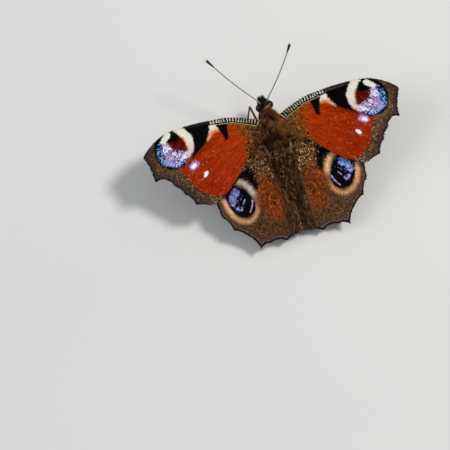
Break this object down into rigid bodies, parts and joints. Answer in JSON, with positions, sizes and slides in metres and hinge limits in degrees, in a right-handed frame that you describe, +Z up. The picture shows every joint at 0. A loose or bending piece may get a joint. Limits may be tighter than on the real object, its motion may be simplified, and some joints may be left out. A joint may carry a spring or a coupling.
{
  "type": "peacock butterfly",
  "caption": "Life-size peacock butterfly basking with open eyespot wings, standing on its walking legs with antennae raised.",
  "frame": {"origin": "bottom centre of the bounding box, on the floor that the feet stand on", "axes": "+Z up, -Y the way the head points, +X towards the butterfly's left"},
  "size_m": [0.0592, 0.0432, 0.0178],
  "materials": {
    "head_brown": "short dark brown hair",
    "fur_brown": "silky brown hair",
    "abdomen_brown": "dark brown hair and scales",
    "eye_dark": "glossy dark compound eye",
    "palp_black": "stiff black scales",
    "antenna_grey": "finely ringed grey and black",
    "leg_brown": "satin brown, finely scaled",
    "forewing_red": "powdery rust-red scales",
    "hindwing_rust": "powdery rust and brown scales"
  },
  "bodies": {
    "root": {"head": "head_brown", "thorax": "fur_brown", "abdomen": "abdomen_brown", "eye_left": "eye_dark", "eye_right": "eye_dark", "palp_left": "palp_black", "palp_right": "palp_black", "antenna_left": "antenna_grey", "antenna_right": "antenna_grey", "foreleg_left": "leg_brown", "foreleg_right": "leg_brown", "midleg_left": "leg_brown", "midleg_right": "leg_brown", "hindleg_left": "leg_brown", "hindleg_right": "leg_brown", "forewing_left": "forewing_red", "forewing_right": "forewing_red", "hindwing_left": "hindwing_rust", "hindwing_right": "hindwing_rust"}
  },
  "joints": []
}
